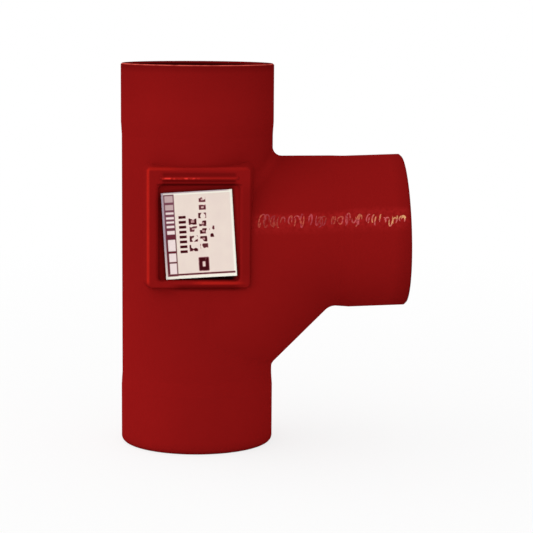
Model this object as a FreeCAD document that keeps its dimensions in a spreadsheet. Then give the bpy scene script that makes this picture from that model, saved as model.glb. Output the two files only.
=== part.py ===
# Sanitary tee for no-hub cast iron drain pipe, DN 50 x 50: a one-piece casting whose 88 degree
# branch leaves the run through a swept throat, and the label that is stuck in its cast frame.
# Millimetres. The origin is the middle of the run's lower end: +Z goes up the run, +X points the
# way the branch leaves, and the label frame faces -Y.
import FreeCAD
import Part
import Sketcher
import math
import os
from FreeCAD import Placement, Rotation, Vector

# Driving dimensions, in millimetres and degrees.
SIZES = {
    # The three arms of the fitting, from the crossing of the axes to the end faces.
    "run_length": 145,
    "lower_arm": 79,
    "branch_reach": 79,
    "branch_rise_angle": 2,
    # The calibrated ends that a coupling grips, the wall, and how much smaller in radius the body
    # between the ends is.
    "spigot_radius": 29,
    "spigot_length": 22,
    "spigot_taper": 5,
    "wall": 4.2,
    "body_relief": 0.32,
    # The branch is this much smaller in radius than the run, outside and inside, so that the two
    # meet at an edge which can be rounded all the way round.
    "branch_relief": 0.2,
    # The swept throat under the branch climbs in one straight slope, at 45 degrees here. It leaves
    # the run this far above the foot's taper, turns into the underside of the branch with this
    # radius, and has done so this far short of the branch's taper.
    "throat_lift": 3.16,
    "throat_bend": 5,
    "throat_runout": 0.2,
    "crotch_round": 3.5,
    "bore_round": 2.5,
    # The ends: the foot is rounded outside, and the other two, like all three bores, have only
    # their sharp edge taken off.
    "foot_round": 2,
    "top_break": 0.5,
    "mouth_break": 0.8,
    "bore_break": 0.4,
    # The raised pad on the front of the run: its size at its face, how far its middle lies above
    # the crossing of the axes, and how far it stands out of the run.
    "pad_width": 37.6,
    "pad_height": 44,
    "pad_lift": 6.5,
    "pad_proud": 1.72,
    "pad_draft_angle": 10,
    "pad_corner": 1.8,
    "pad_edge": 0.7,
    # The frame that the pad leaves round the shallow recess for the label.
    "frame_side": 3.4,
    "frame_top": 5.7,
    "frame_foot": 1.9,
    "recess_depth": 1.6,
    "recess_draft_angle": 25,
    "recess_corner": 2,
    "rim_break": 0.5,
    # The bead over the recess, and how much of the frame's face shows between the two.
    "lip_radius": 0.7,
    "lip_proud": 0.5,
    "lip_gap": 1.3,
    "lip_inset": 0.7,
    # The label, which is this much smaller than the floor of the recess, how far it is turned, and
    # how far it sits below the middle of the recess.
    "label_side_play": 3.2,
    "label_end_play": 2.9,
    "label_thickness": 0.15,
    "label_turn_angle": 3.6,
    "label_drop": 0.45,
}

# Sizes that follow from the driving ones.
DERIVED = {
    "body_radius": "sizes.spigot_radius - sizes.body_relief",
    "bore_radius": "sizes.spigot_radius - sizes.wall",
    "branch_body": "body_radius - sizes.branch_relief",
    "branch_bore": "bore_radius - sizes.branch_relief",
    # Along the run and the branch, where the calibrated ends and their tapers begin.
    "foot_taper_end": "sizes.spigot_length + sizes.spigot_taper",
    "top_taper_start": "sizes.run_length - sizes.spigot_length - sizes.spigot_taper",
    "top_spigot_start": "sizes.run_length - sizes.spigot_length",
    "branch_body_end": "sizes.branch_reach - sizes.spigot_length - sizes.spigot_taper",
    "branch_spigot_start": "sizes.branch_reach - sizes.spigot_length",
    # Under the branch the outer line of the throat turns about this point, and its slope is the
    # line from the run that touches the turn.
    "throat_start": "foot_taper_end + sizes.throat_lift",
    "throat_end": "branch_body_end - sizes.throat_runout",
    "sweep_centre_radius": "branch_body + sizes.throat_bend",
    "bend_across": "throat_end * cos(sizes.branch_rise_angle * 1 deg)"
    " + sweep_centre_radius * sin(sizes.branch_rise_angle * 1 deg)",
    "bend_up": "sizes.lower_arm + throat_end * sin(sizes.branch_rise_angle * 1 deg)"
    " - sweep_centre_radius * cos(sizes.branch_rise_angle * 1 deg)",
    "sweep_angle": "(atan2(bend_up - throat_start; bend_across - body_radius)"
    " + asin(sizes.throat_bend / hypot(bend_up - throat_start; bend_across - body_radius)))"
    " / 1 deg",
    # The centre line of the throat bends round the corner where it meets the axis of the branch,
    # this far along that axis, and starts this high on the axis of the run.
    "sweep_tangent": "sweep_centre_radius"
    " * tan((sweep_angle - sizes.branch_rise_angle) / 2 * 1 deg)",
    "sweep_corner": "throat_end - sweep_tangent",
    "sweep_foot": "sizes.lower_arm + sweep_corner * (sin(sizes.branch_rise_angle * 1 deg)"
    " - cos(sizes.branch_rise_angle * 1 deg) * tan(sweep_angle * 1 deg))",
    "sweep_tilt": "90 - sweep_angle",
    "body_end_across": "branch_body_end * cos(sizes.branch_rise_angle * 1 deg)",
    "body_end_up": "sizes.lower_arm + branch_body_end * sin(sizes.branch_rise_angle * 1 deg)",
    "web_width": "2 * branch_body",
    "core_web_width": "2 * branch_bore",
    # The core that shapes the waterway runs out past each end of the casting, and flares where
    # the edges of the bores are broken.
    "core_overrun": "5",
    "core_top_break": "sizes.run_length - sizes.bore_break",
    "core_mouth_break": "sizes.branch_reach - sizes.bore_break",
    "core_flare": "bore_radius + sizes.bore_break",
    "core_mouth_flare": "branch_bore + sizes.bore_break",
    "core_top": "sizes.run_length + core_overrun",
    "core_bottom": "-core_overrun",
    "core_mouth": "sizes.branch_reach + core_overrun",
    # The label pad, its recess and its bead.
    "pad_middle": "sizes.lower_arm + sizes.pad_lift",
    "pad_face": "body_radius + sizes.pad_proud",
    "pad_depth": "sizes.pad_proud + body_radius / 2",
    "recess_width": "sizes.pad_width - 2 * sizes.frame_side",
    "recess_height": "sizes.pad_height - sizes.frame_top - sizes.frame_foot",
    "recess_middle": "pad_middle - (sizes.frame_top - sizes.frame_foot) / 2",
    "recess_floor": "pad_face - sizes.recess_depth",
    "lip_middle": "recess_middle + recess_height / 2 + sizes.rim_break + sizes.lip_gap"
    " + sizes.lip_radius / 2",
    "lip_plane": "pad_face + sizes.lip_proud - sizes.lip_radius",
    "lip_length": "recess_width - 2 * sizes.lip_inset",
    "recess_batter": "sizes.recess_depth * tan(sizes.recess_draft_angle * 1 deg)",
    "label_middle": "recess_middle - sizes.label_drop",
    "label_right": "(recess_width - sizes.label_side_play) / 2 - recess_batter",
    "label_left": "-label_right",
    "label_top": "(recess_height - sizes.label_end_play) / 2 - recess_batter",
    "label_foot": "-label_top",
}

doc = FreeCAD.newDocument("sanitary_tee")
sizes = doc.addObject("Spreadsheet::Sheet", "sizes")
for row, (alias, amount) in enumerate(SIZES.items(), start=1):
    sizes.set(f"A{row}", alias)
    sizes.set(f"B{row}", str(amount))
    sizes.setAlias(f"B{row}", alias)
doc.recompute()
derived = doc.addObject("App::VarSet", "derived")
for name, formula in DERIVED.items():
    derived.addProperty("App::PropertyFloat", name)
    derived.setExpression(name, formula)
    derived.recompute()

Z_AXIS = Vector(0, 0, 1)
# A sketch's own origin and axes, as its constraints name them.
ORIGIN_POINT = (-1, 1)
HORIZONTAL, VERTICAL = -1, -2
# Edges and faces are told apart by their place to within this distance.
TINY = 1e-6


def number(name):
    """The present value of a size, given as sizes.NAME or derived.NAME, or 0."""
    if name == "0":
        return 0.0
    owner, size = name.split(".")
    return float(getattr(doc.getObject(owner), size))


def sketch_on(body, name, plane, across="0", up="0", out="0", turn_axis=Z_AXIS, turn="0"):
    """An empty sketch on one of the body's own planes, shifted and turned by named sizes."""
    sketch = body.newObject("Sketcher::SketchObject", name)
    support = next(item for item in body.Origin.OriginFeatures if item.Role == plane)
    sketch.AttachmentSupport = [(support, "")]
    sketch.MapMode = "FlatFace"
    sketch.AttachmentOffset = Placement(Vector(), Rotation(turn_axis, 1))
    for letter, shift in (("x", across), ("y", up), ("z", out)):
        sketch.setExpression(f".AttachmentOffset.Base.{letter}", shift)
    sketch.setExpression(".AttachmentOffset.Rotation.Angle", f"{turn} * 1 deg")
    return sketch


def along_branch(body, name):
    """A sketch in the plane of the axes whose X runs along the branch from the crossing."""
    return sketch_on(body, name, "XZ_Plane", up="sizes.lower_arm", turn="sizes.branch_rise_angle")


def bind(sketch, size, kind, *place):
    """A constraint that follows a named size."""
    unit = 1.0
    formula = size
    if kind == "Angle":
        unit = math.radians(1)
        formula = f"{size} * 1 deg"
    index = sketch.addConstraint(Sketcher.Constraint(kind, *place, number(size) * unit))
    sketch.setExpression(f"Constraints[{index}]", formula)


def hold(sketch, line, end, across, up):
    """Keeps one end of a line at two named distances from the sketch's origin."""
    for size, kind, axis in ((across, "DistanceX", VERTICAL), (up, "DistanceY", HORIZONTAL)):
        if size == "0":
            sketch.addConstraint(Sketcher.Constraint("PointOnObject", line, end, axis))
        else:
            bind(sketch, size, kind, *ORIGIN_POINT, line, end)


def polygon(sketch, corners):
    """A closed outline of straight sides through corners given as pairs of sizes."""
    points = [Vector(number(across), number(up), 0) for across, up in corners]
    for start, end in zip(points, points[1:] + points[:1]):
        sketch.addGeometry(Part.LineSegment(start, end))
    for line, (across, up) in enumerate(corners):
        following = (line + 1) % len(corners)
        sketch.addConstraint(Sketcher.Constraint("Coincident", line, 2, following, 1))
        hold(sketch, line, 1, across, up)


def rounded_rectangle(sketch, width, height, corner):
    """A rectangle about the sketch's origin, with arcs at its corners."""
    radius = number(corner)
    centre_x = number(width) / 2 - radius
    centre_y = number(height) / 2 - radius
    for quarter, (right, top) in enumerate(((1, 1), (-1, 1), (-1, -1), (1, -1))):
        circle = Part.Circle(Vector(right * centre_x, top * centre_y, 0), Z_AXIS, radius)
        start = quarter * math.pi / 2
        sketch.addGeometry(Part.ArcOfCircle(circle, start, start + math.pi / 2))
    for quarter in range(4):
        following = (quarter + 1) % 4
        ends = sketch.getPoint(quarter, 2), sketch.getPoint(following, 1)
        side = sketch.addGeometry(Part.LineSegment(*ends))
        sketch.addConstraint(Sketcher.Constraint("Tangent", quarter, 2, side, 1))
        sketch.addConstraint(Sketcher.Constraint("Tangent", side, 2, following, 1))
        sketch.addConstraint(Sketcher.Constraint(("Horizontal", "Vertical")[quarter % 2], side))
    for quarter in range(1, 4):
        sketch.addConstraint(Sketcher.Constraint("Equal", 0, quarter))
    top_side, left_side, bottom_side, right_side = 4, 5, 6, 7
    sketch.addConstraint(
        Sketcher.Constraint("Symmetric", top_side, 1, bottom_side, 1, *ORIGIN_POINT)
    )
    bind(sketch, corner, "Radius", 0)
    bind(sketch, width, "DistanceX", left_side, 1, right_side, 1)
    bind(sketch, height, "DistanceY", bottom_side, 1, top_side, 1)


def sweep_line(sketch, branch_end):
    """The centre line of the throat: up the sweep, round the bend, and along the branch.

    branch_end is the point on the axis of the branch where the line stops, on either side of the
    bend. The line is three pieces of geometry: a line, an arc and a line.
    """
    climbing = math.radians(number("derived.sweep_angle"))
    rising = math.radians(number("sizes.branch_rise_angle"))
    climb_way = Vector(math.cos(climbing), math.sin(climbing), 0)
    branch_way = Vector(math.cos(rising), math.sin(rising), 0)
    foot = Vector(0, number("derived.sweep_foot"), 0)
    crossing = Vector(0, number("sizes.lower_arm"), 0)
    corner = crossing + branch_way * number("derived.sweep_corner")
    tangent = number("derived.sweep_tangent")
    bend_start = corner - climb_way * tangent
    bend_end = corner + branch_way * tangent
    radius = number("derived.sweep_centre_radius")
    centre = bend_end + Vector(math.sin(rising), -math.cos(rising), 0) * radius
    bend = Part.ArcOfCircle(
        Part.Circle(centre, Z_AXIS, radius), math.pi / 2 + rising, math.pi / 2 + climbing
    )
    sketch.addGeometry(Part.LineSegment(foot, bend_start))
    sketch.addGeometry(bend)
    sketch.addGeometry(Part.LineSegment(bend_end, branch_end))
    climb, bend, level = 0, 1, 2
    # An arc runs anticlockwise, so this one starts at its upper end.
    sketch.addConstraint(Sketcher.Constraint("Tangent", climb, 2, bend, 2))
    sketch.addConstraint(Sketcher.Constraint("Tangent", bend, 1, level, 1))
    hold(sketch, climb, 1, "0", "derived.sweep_foot")
    bind(sketch, "derived.sweep_angle", "Angle", climb)
    bind(sketch, "derived.sweep_centre_radius", "Radius", bend)


def revolve(body, name, sketch, axis, angle=360):
    """A solid of revolution about one of the sketch's axes, half the angle to each side."""
    feature = body.newObject("PartDesign::Revolution", name)
    feature.Profile = sketch
    feature.ReferenceAxis = (sketch, [axis])
    feature.Angle = angle
    feature.Midplane = angle < 360
    doc.recompute()


def side_branch(body, radius, width):
    """The branch up to its calibrated end, as a bar with round edges of the given radius.

    Its back is a half-round along the axis of the branch, its underside a half-round swept along
    the centre line of the throat, and a web as thick as both fills the space between the lines.
    """
    back = along_branch(body, f"{body.Name}_back_profile")
    end = "derived.branch_body_end"
    polygon(back, (("0", "0"), (end, "0"), (end, radius), ("0", radius)))
    revolve(body, f"{body.Name}_back", back, "H_Axis", 180)

    path = sketch_on(body, f"{body.Name}_sweep_line", "XZ_Plane")
    across, up = "derived.body_end_across", "derived.body_end_up"
    sweep_line(path, Vector(number(across), number(up), 0))
    hold(path, 2, 2, across, up)
    bind(path, "sizes.branch_rise_angle", "Angle", 2)

    section = sketch_on(
        body,
        f"{body.Name}_section",
        "XY_Plane",
        out="derived.sweep_foot",
        turn_axis=Vector(0, 1, 0),
        turn="derived.sweep_tilt",
    )
    reach = number(radius)
    section.addGeometry(Part.LineSegment(Vector(0, reach, 0), Vector(0, -reach, 0)))
    circle = Part.Circle(Vector(), Z_AXIS, reach)
    section.addGeometry(Part.ArcOfCircle(circle, -math.pi / 2, math.pi / 2))
    section.addConstraint(Sketcher.Constraint("Coincident", 0, 2, 1, 1))
    section.addConstraint(Sketcher.Constraint("Coincident", 0, 1, 1, 2))
    section.addConstraint(Sketcher.Constraint("Coincident", 1, 3, *ORIGIN_POINT))
    section.addConstraint(Sketcher.Constraint("PointOnObject", 0, 1, VERTICAL))
    section.addConstraint(Sketcher.Constraint("PointOnObject", 0, 2, VERTICAL))
    bind(section, radius, "Radius", 1)
    underside = body.newObject("PartDesign::AdditivePipe", f"{body.Name}_underside")
    underside.Profile = section
    underside.Spine = (path, [])
    doc.recompute()

    outline = sketch_on(body, f"{body.Name}_web_outline", "XZ_Plane")
    crossing = Vector(0, number("sizes.lower_arm"), 0)
    sweep_line(outline, crossing)
    outline.addGeometry(Part.LineSegment(crossing, Vector(0, number("derived.sweep_foot"), 0)))
    outline.addConstraint(Sketcher.Constraint("Coincident", 2, 2, 3, 1))
    outline.addConstraint(Sketcher.Constraint("Coincident", 3, 2, 0, 1))
    hold(outline, 3, 1, "0", "sizes.lower_arm")
    bind(outline, "sizes.branch_rise_angle", "Angle", HORIZONTAL, 1, 2, 2)
    web = body.newObject("PartDesign::Pad", f"{body.Name}_web")
    web.Profile = outline
    web.SideType = "Symmetric"
    web.setExpression("Length", width)
    doc.recompute()


def dress_edges(body, kind, name, size, chosen):
    """Puts a Fillet or a Chamfer on the edges that chosen(edge, faces beside it) picks out."""
    base = body.Tip
    names = []
    for index, edge in enumerate(base.Shape.Edges, start=1):
        if chosen(edge, base.Shape.ancestorsOfType(edge, Part.Face)):
            names.append(f"Edge{index}")
    feature = body.newObject(f"PartDesign::{kind}", name)
    feature.Base = (base, names)
    feature.setExpression({"Fillet": "Radius", "Chamfer": "Size"}[kind], size)
    doc.recompute()


def upright(face):
    """Whether a face is turned about the run's axis or square to it."""
    return abs(face.Surface.Axis.z) > 1 - TINY if hasattr(face.Surface, "Axis") else False


def around_branch(edge, beside):
    """Picks the edges where the run meets the branch."""
    return len({upright(face) for face in beside}) > 1


def rim_at(point, direction):
    """Picks the outer rim of the end face that is square to the direction at the point."""

    def chosen(edge, beside):
        if not isinstance(edge.Curve, Part.Circle):
            return False
        centred = edge.Curve.Center.distanceToPoint(point) < TINY
        outer = abs(edge.Curve.Radius - number("sizes.spigot_radius")) < TINY
        return centred and outer and abs(edge.Curve.Axis.dot(direction)) > 1 - TINY

    return chosen


def on_pad_face(width, height, middle):
    """Picks the edges of the pad's face that lie within a rectangle of the named sizes."""

    def chosen(edge, beside):
        box = edge.BoundBox
        flat = abs(box.YMin + number("derived.pad_face")) < TINY and box.YLength < TINY
        inside = max(box.XMax, -box.XMin) < number(width) / 2 + TINY
        low = box.ZMin > number(middle) - number(height) / 2 - TINY
        high = box.ZMax < number(middle) + number(height) / 2 + TINY
        return flat and inside and low and high

    return chosen


# The outside of the casting, solid right through.
outside = doc.addObject("PartDesign::Body", "outside")
run_profile = sketch_on(outside, "run_profile", "XZ_Plane")
polygon(
    run_profile,
    (
        ("0", "0"),
        ("sizes.spigot_radius", "0"),
        ("sizes.spigot_radius", "sizes.spigot_length"),
        ("derived.body_radius", "derived.foot_taper_end"),
        ("derived.body_radius", "derived.top_taper_start"),
        ("sizes.spigot_radius", "derived.top_spigot_start"),
        ("sizes.spigot_radius", "sizes.run_length"),
        ("0", "sizes.run_length"),
    ),
)
revolve(outside, "run", run_profile, "V_Axis")
side_branch(outside, "derived.branch_body", "derived.web_width")
dress_edges(outside, "Fillet", "crotch_round", "sizes.crotch_round", around_branch)

branch_profile = along_branch(outside, "branch_profile")
polygon(
    branch_profile,
    (
        ("derived.branch_body_end", "0"),
        ("derived.branch_body_end", "derived.branch_body"),
        ("derived.branch_spigot_start", "sizes.spigot_radius"),
        ("sizes.branch_reach", "sizes.spigot_radius"),
        ("sizes.branch_reach", "0"),
    ),
)
revolve(outside, "branch_spigot", branch_profile, "H_Axis")

branch_rise = math.radians(number("sizes.branch_rise_angle"))
branch_way = Vector(math.cos(branch_rise), 0, math.sin(branch_rise))
crossing = Vector(0, 0, number("sizes.lower_arm"))
run_top = Vector(0, 0, number("sizes.run_length"))
branch_mouth = crossing + branch_way * number("sizes.branch_reach")
foot_rim = rim_at(Vector(), Z_AXIS)
top_rim = rim_at(run_top, Z_AXIS)
mouth_rim = rim_at(branch_mouth, branch_way)
dress_edges(outside, "Fillet", "foot_round", "sizes.foot_round", foot_rim)
dress_edges(outside, "Chamfer", "top_break", "sizes.top_break", top_rim)
dress_edges(outside, "Chamfer", "mouth_break", "sizes.mouth_break", mouth_rim)

# The raised pad for the label, cast on the front of the run.
pad_outline = sketch_on(
    outside, "pad_outline", "XZ_Plane", up="derived.pad_middle", out="derived.pad_face"
)
rounded_rectangle(pad_outline, "sizes.pad_width", "sizes.pad_height", "sizes.pad_corner")
pad = outside.newObject("PartDesign::Pad", "label_pad")
pad.Profile = pad_outline
pad.Reversed = True
pad.setExpression("Length", "derived.pad_depth")
pad.setExpression("TaperAngle", "sizes.pad_draft_angle * 1 deg")
doc.recompute()
pad_rim = on_pad_face("sizes.pad_width", "sizes.pad_height", "derived.pad_middle")
dress_edges(outside, "Fillet", "pad_edge", "sizes.pad_edge", pad_rim)

recess_outline = sketch_on(
    outside, "recess_outline", "XZ_Plane", up="derived.recess_middle", out="derived.pad_face"
)
rounded_rectangle(
    recess_outline, "derived.recess_width", "derived.recess_height", "sizes.recess_corner"
)
solid_volume = outside.Shape.Volume
recess = outside.newObject("PartDesign::Pocket", "label_recess")
recess.Profile = recess_outline
recess.setExpression("Length", "sizes.recess_depth")
recess.setExpression("TaperAngle", "-sizes.recess_draft_angle * 1 deg")
doc.recompute()
recess_volume = solid_volume - outside.Shape.Volume
recess_rim = on_pad_face("derived.recess_width", "derived.recess_height", "derived.recess_middle")
dress_edges(outside, "Chamfer", "recess_rim", "sizes.rim_break", recess_rim)

# The bead above the recess: a rod with round ends, more than half sunk in the pad.
lip_profile = sketch_on(
    outside, "lip_profile", "XZ_Plane", up="derived.lip_middle", out="derived.lip_plane"
)
lip_radius = number("sizes.lip_radius")
lip_end = number("derived.lip_length") / 2
lip_centre = lip_end - lip_radius
right_ball = Part.Circle(Vector(lip_centre, 0, 0), Z_AXIS, lip_radius)
left_ball = Part.Circle(Vector(-lip_centre, 0, 0), Z_AXIS, lip_radius)
right_corner = Vector(lip_centre, lip_radius, 0)
left_corner = Vector(-lip_centre, lip_radius, 0)
lip_profile.addGeometry(Part.LineSegment(Vector(-lip_end, 0, 0), Vector(lip_end, 0, 0)))
lip_profile.addGeometry(Part.ArcOfCircle(right_ball, 0, math.pi / 2))
lip_profile.addGeometry(Part.LineSegment(right_corner, left_corner))
lip_profile.addGeometry(Part.ArcOfCircle(left_ball, math.pi / 2, math.pi))
lip_axis, lip_right, lip_crest, lip_left = 0, 1, 2, 3
lip_profile.addConstraint(Sketcher.Constraint("Coincident", lip_axis, 2, lip_right, 1))
lip_profile.addConstraint(Sketcher.Constraint("Coincident", lip_left, 2, lip_axis, 1))
lip_profile.addConstraint(Sketcher.Constraint("Tangent", lip_right, 2, lip_crest, 1))
lip_profile.addConstraint(Sketcher.Constraint("Tangent", lip_crest, 2, lip_left, 1))
lip_profile.addConstraint(Sketcher.Constraint("Horizontal", lip_axis))
lip_profile.addConstraint(Sketcher.Constraint("Horizontal", lip_crest))
lip_profile.addConstraint(Sketcher.Constraint("PointOnObject", lip_right, 3, HORIZONTAL))
lip_profile.addConstraint(Sketcher.Constraint("PointOnObject", lip_left, 3, HORIZONTAL))
lip_profile.addConstraint(
    Sketcher.Constraint("Symmetric", lip_axis, 1, lip_axis, 2, *ORIGIN_POINT)
)
bind(lip_profile, "sizes.lip_radius", "Radius", lip_right)
bind(lip_profile, "derived.lip_length", "DistanceX", lip_axis, 1, lip_axis, 2)
revolve(outside, "recess_lip", lip_profile, "H_Axis")

# The waterway, as the solid core that the casting is poured around.
core = doc.addObject("PartDesign::Body", "core")
bore_profile = sketch_on(core, "bore_profile", "XZ_Plane")
polygon(
    bore_profile,
    (
        ("0", "derived.core_bottom"),
        ("derived.core_flare", "derived.core_bottom"),
        ("derived.core_flare", "0"),
        ("derived.bore_radius", "sizes.bore_break"),
        ("derived.bore_radius", "derived.core_top_break"),
        ("derived.core_flare", "sizes.run_length"),
        ("derived.core_flare", "derived.core_top"),
        ("0", "derived.core_top"),
    ),
)
revolve(core, "bore", bore_profile, "V_Axis")
side_branch(core, "derived.branch_bore", "derived.core_web_width")
dress_edges(core, "Fillet", "throat_round", "sizes.bore_round", around_branch)
mouth_profile = along_branch(core, "mouth_profile")
polygon(
    mouth_profile,
    (
        ("derived.branch_body_end", "0"),
        ("derived.branch_body_end", "derived.branch_bore"),
        ("derived.core_mouth_break", "derived.branch_bore"),
        ("sizes.branch_reach", "derived.core_mouth_flare"),
        ("derived.core_mouth", "derived.core_mouth_flare"),
        ("derived.core_mouth", "0"),
    ),
)
revolve(core, "branch_bore", mouth_profile, "H_Axis")

tee_body = doc.addObject("Part::Cut", "tee_body")
tee_body.Base = outside
tee_body.Tool = core
tee_body.Label = "tee_body"

# The printed label, stuck flat on the floor of the recess and a little askew.
label = doc.addObject("PartDesign::Body", "identification_label")
label.Label = "identification_label"
label_outline = sketch_on(
    label,
    "label_outline",
    "XZ_Plane",
    up="derived.label_middle",
    out="derived.recess_floor",
    turn="sizes.label_turn_angle",
)
polygon(
    label_outline,
    (
        ("derived.label_right", "derived.label_top"),
        ("derived.label_left", "derived.label_top"),
        ("derived.label_left", "derived.label_foot"),
        ("derived.label_right", "derived.label_foot"),
    ),
)
label_film = label.newObject("PartDesign::Pad", "label_film")
label_film.Profile = label_outline
label_film.setExpression("Length", "sizes.label_thickness")
doc.recompute()

# Every step has to have worked before anything is written.
failed = [
    item.Name for item in doc.Objects if "Invalid" in item.State or "Error" in item.State
]
if failed:
    raise RuntimeError(f"these objects failed: {failed}")
recess_area = number("derived.recess_width") * number("derived.recess_height")
if not 0 < recess_volume < recess_area * number("sizes.recess_depth"):
    raise RuntimeError("the recess for the label was not cut into the pad")
os.makedirs("parts", exist_ok=True)
for part in (tee_body, label):
    shape = part.Shape
    if shape.isNull() or not shape.isValid() or len(shape.Solids) != 1:
        raise RuntimeError(f"{part.Label} is not one sound solid")
    shape.exportStep(os.path.join("parts", f"{part.Label}.step"))
    box = shape.BoundBox
    print(f"{part.Label}: {shape.Volume:.1f} mm3, {len(shape.Faces)} faces")
    print(f"  x {box.XMin:.2f} to {box.XMax:.2f}, y {box.YMin:.2f} to {box.YMax:.2f},")
    print(f"  z {box.ZMin:.2f} to {box.ZMax:.2f}")
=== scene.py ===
# %% [markdown]
# A sanitary tee stands on one end in a bright studio. It is one hollow casting of grey iron under a
# thick coat of red-brown epoxy, with a printed film label in a raised frame and one line of sprayed
# marks along the branch. The casting arrives here already shaped, in metres, with the middle of its
# lower end at the origin, the run standing along Z and the branch pointing along X. What is left to
# do is to fill out the top of the branch, and then the finish: the coat, the label with its print,
# the sprayed marks, the light and the camera.

# %% Load the casting
import bpy
import math
import numpy as np
from mathutils import Matrix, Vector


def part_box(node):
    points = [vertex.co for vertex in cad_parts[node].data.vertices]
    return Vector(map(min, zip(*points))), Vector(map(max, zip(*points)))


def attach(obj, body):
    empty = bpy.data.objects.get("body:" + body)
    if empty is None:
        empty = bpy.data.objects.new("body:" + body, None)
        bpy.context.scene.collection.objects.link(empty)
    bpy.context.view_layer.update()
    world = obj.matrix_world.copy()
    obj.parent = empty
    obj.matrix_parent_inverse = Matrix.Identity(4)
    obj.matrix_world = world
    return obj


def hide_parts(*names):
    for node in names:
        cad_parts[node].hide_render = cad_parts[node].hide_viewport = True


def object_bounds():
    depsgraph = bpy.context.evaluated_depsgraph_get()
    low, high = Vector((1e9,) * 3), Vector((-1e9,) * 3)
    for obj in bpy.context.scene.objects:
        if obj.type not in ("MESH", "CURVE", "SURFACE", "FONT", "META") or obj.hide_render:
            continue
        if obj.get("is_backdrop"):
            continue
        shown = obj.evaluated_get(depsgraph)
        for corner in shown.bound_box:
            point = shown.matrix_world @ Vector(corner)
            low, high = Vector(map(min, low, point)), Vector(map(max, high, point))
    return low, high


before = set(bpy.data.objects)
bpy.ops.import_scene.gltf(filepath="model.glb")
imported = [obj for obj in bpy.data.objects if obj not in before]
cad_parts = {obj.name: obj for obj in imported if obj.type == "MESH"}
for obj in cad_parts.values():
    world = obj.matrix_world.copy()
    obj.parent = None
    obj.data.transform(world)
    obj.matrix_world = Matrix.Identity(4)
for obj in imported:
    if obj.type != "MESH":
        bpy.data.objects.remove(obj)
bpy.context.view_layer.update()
MM = 0.001
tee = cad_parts["tee_body"]

# %% [markdown]
# The small pieces and the finishes need to know where things are on the casting: how high the run
# stands, how the branch and its throat leave it, and where the raised pad with its recess and its
# bead lies. The branch is a little thinner than its end and widens to it over a short taper. These
# are the sizes of the construction, in millimetres. The film's place is read from the construction
# itself, so the label can't drift off its recess.

# %% Where things are on the casting
RUN_HEIGHT = 145.0
BRANCH_HEIGHT, BRANCH_RISE, MOUTH = 79.0, math.radians(2.0), 79.0
END_RADIUS, BRANCH_RADIUS, TAPER_START, TAPER_LENGTH = 29.0, 28.48, 52.0, 5.0
THROAT_HEIGHT = 41.76
MID_WALL = 26.6
PAD_FOOT, PAD_HEAD, PAD_SIDE = 63.5, 107.5, 18.8
RECESS_FOOT, RECESS_HEAD, RECESS_SIDE = 65.4, 101.8, 15.4
BEAD_HEIGHT, BEAD_SIDE = 103.95, 13.4
FILM_WIDTH, FILM_HEIGHT, FILM_THICK, FILM_TURN = 26.1, 32.0, 0.15, math.radians(3.6)
film_low, film_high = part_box("identification_label")
film_middle = [(film_low[i] + film_high[i]) / 2 / MM for i in (0, 2)]
film_front = film_low[1] / MM
print("label middle in mm:", [round(v, 2) for v in film_middle], "front", round(film_front, 2))

# %% [markdown]
# The real branch is fuller on top, next to the run, than the plain cylinder of the construction.
# Its upper line runs dead straight into the spigot, with no step. One way is to sculpt it. Here
# every point of the skin is raised by a lift that fades out in all directions, which is a formula
# of the point's own place. The lift is at most 1.5 mm, and the walls of the waterway stay put.

# %% How far the top of the branch is raised
def over_branch(x, z):
    """Millimetres that a place lies above the branch's axis."""
    return (z - BRANCH_HEIGHT) * math.cos(BRANCH_RISE) - x * math.sin(BRANCH_RISE)


def lift_of(x, y, z):
    """Millimetres up for each point: a lift along the branch (0 at 12 mm, 1.45 at 29, 0.78 at 52,
    0 at 57), times the square of how high the point lies on the skin, faded out up the run and
    inside."""
    along = x * math.cos(BRANCH_RISE) + (z - BRANCH_HEIGHT) * math.sin(BRANCH_RISE)
    over = over_branch(x, z)
    lift = np.interp(along, [12, 29, 52, 57], [0, 1.45, 0.78, 0])
    high = np.clip((over - 11) / 17, 0, 1) ** 2
    fade = np.clip((117 - z) / 6, 0, 1)
    skin = (np.hypot(x, y) > MID_WALL) & (np.hypot(over, y) > MID_WALL)
    return lift * high * fade * skin


print("lift on top of the branch:", [round(float(lift_of(x, 0.0, 108.5)), 2) for x in (29, 40, 52)])

# %% [markdown]
# The casting's own mesh stays as it came, so a copy of it is raised and stands for it from here on.
# The mesh is a heap of loose triangles. In the copy the corners that lie on one another are made
# one point, so that the skin stays closed when its points move.

# %% The fuller casting
def put(name, data):
    """Stands a mesh, a lamp or a camera in the scene as an object of that name."""
    made = bpy.data.objects.new(name, data)
    bpy.context.scene.collection.objects.link(made)
    return made


def joined_copy(name, mesh, move):
    """A copy of a mesh of triangles with its doubled points made one. Each point goes up by
    move(x, y, z) millimetres, and the corners keep the directions in which they take the light."""
    points = np.empty(len(mesh.vertices) * 3)
    mesh.vertices.foreach_get("co", points)
    corners = np.empty(len(mesh.loops), np.int64)
    mesh.loops.foreach_get("vertex_index", corners)
    normals = np.empty(len(mesh.loops) * 3)
    mesh.corner_normals.foreach_get("vector", normals)
    whole, number = np.unique(np.round(points.reshape(-1, 3), 7), axis=0, return_inverse=True)
    faces = number.reshape(-1)[corners].reshape(-1, 3)
    real = (faces != np.roll(faces, 1, axis=1)).all(1)
    whole[:, 2] += move(*(whole.T / MM)) * MM
    copy = bpy.data.meshes.new(name)
    copy.from_pydata(whole, [], faces[real])
    copy.shade_smooth()
    copy.normals_split_custom_set(normals.reshape(-1, 3, 3)[real].reshape(-1, 3).tolist())
    return put(name, copy)


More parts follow.
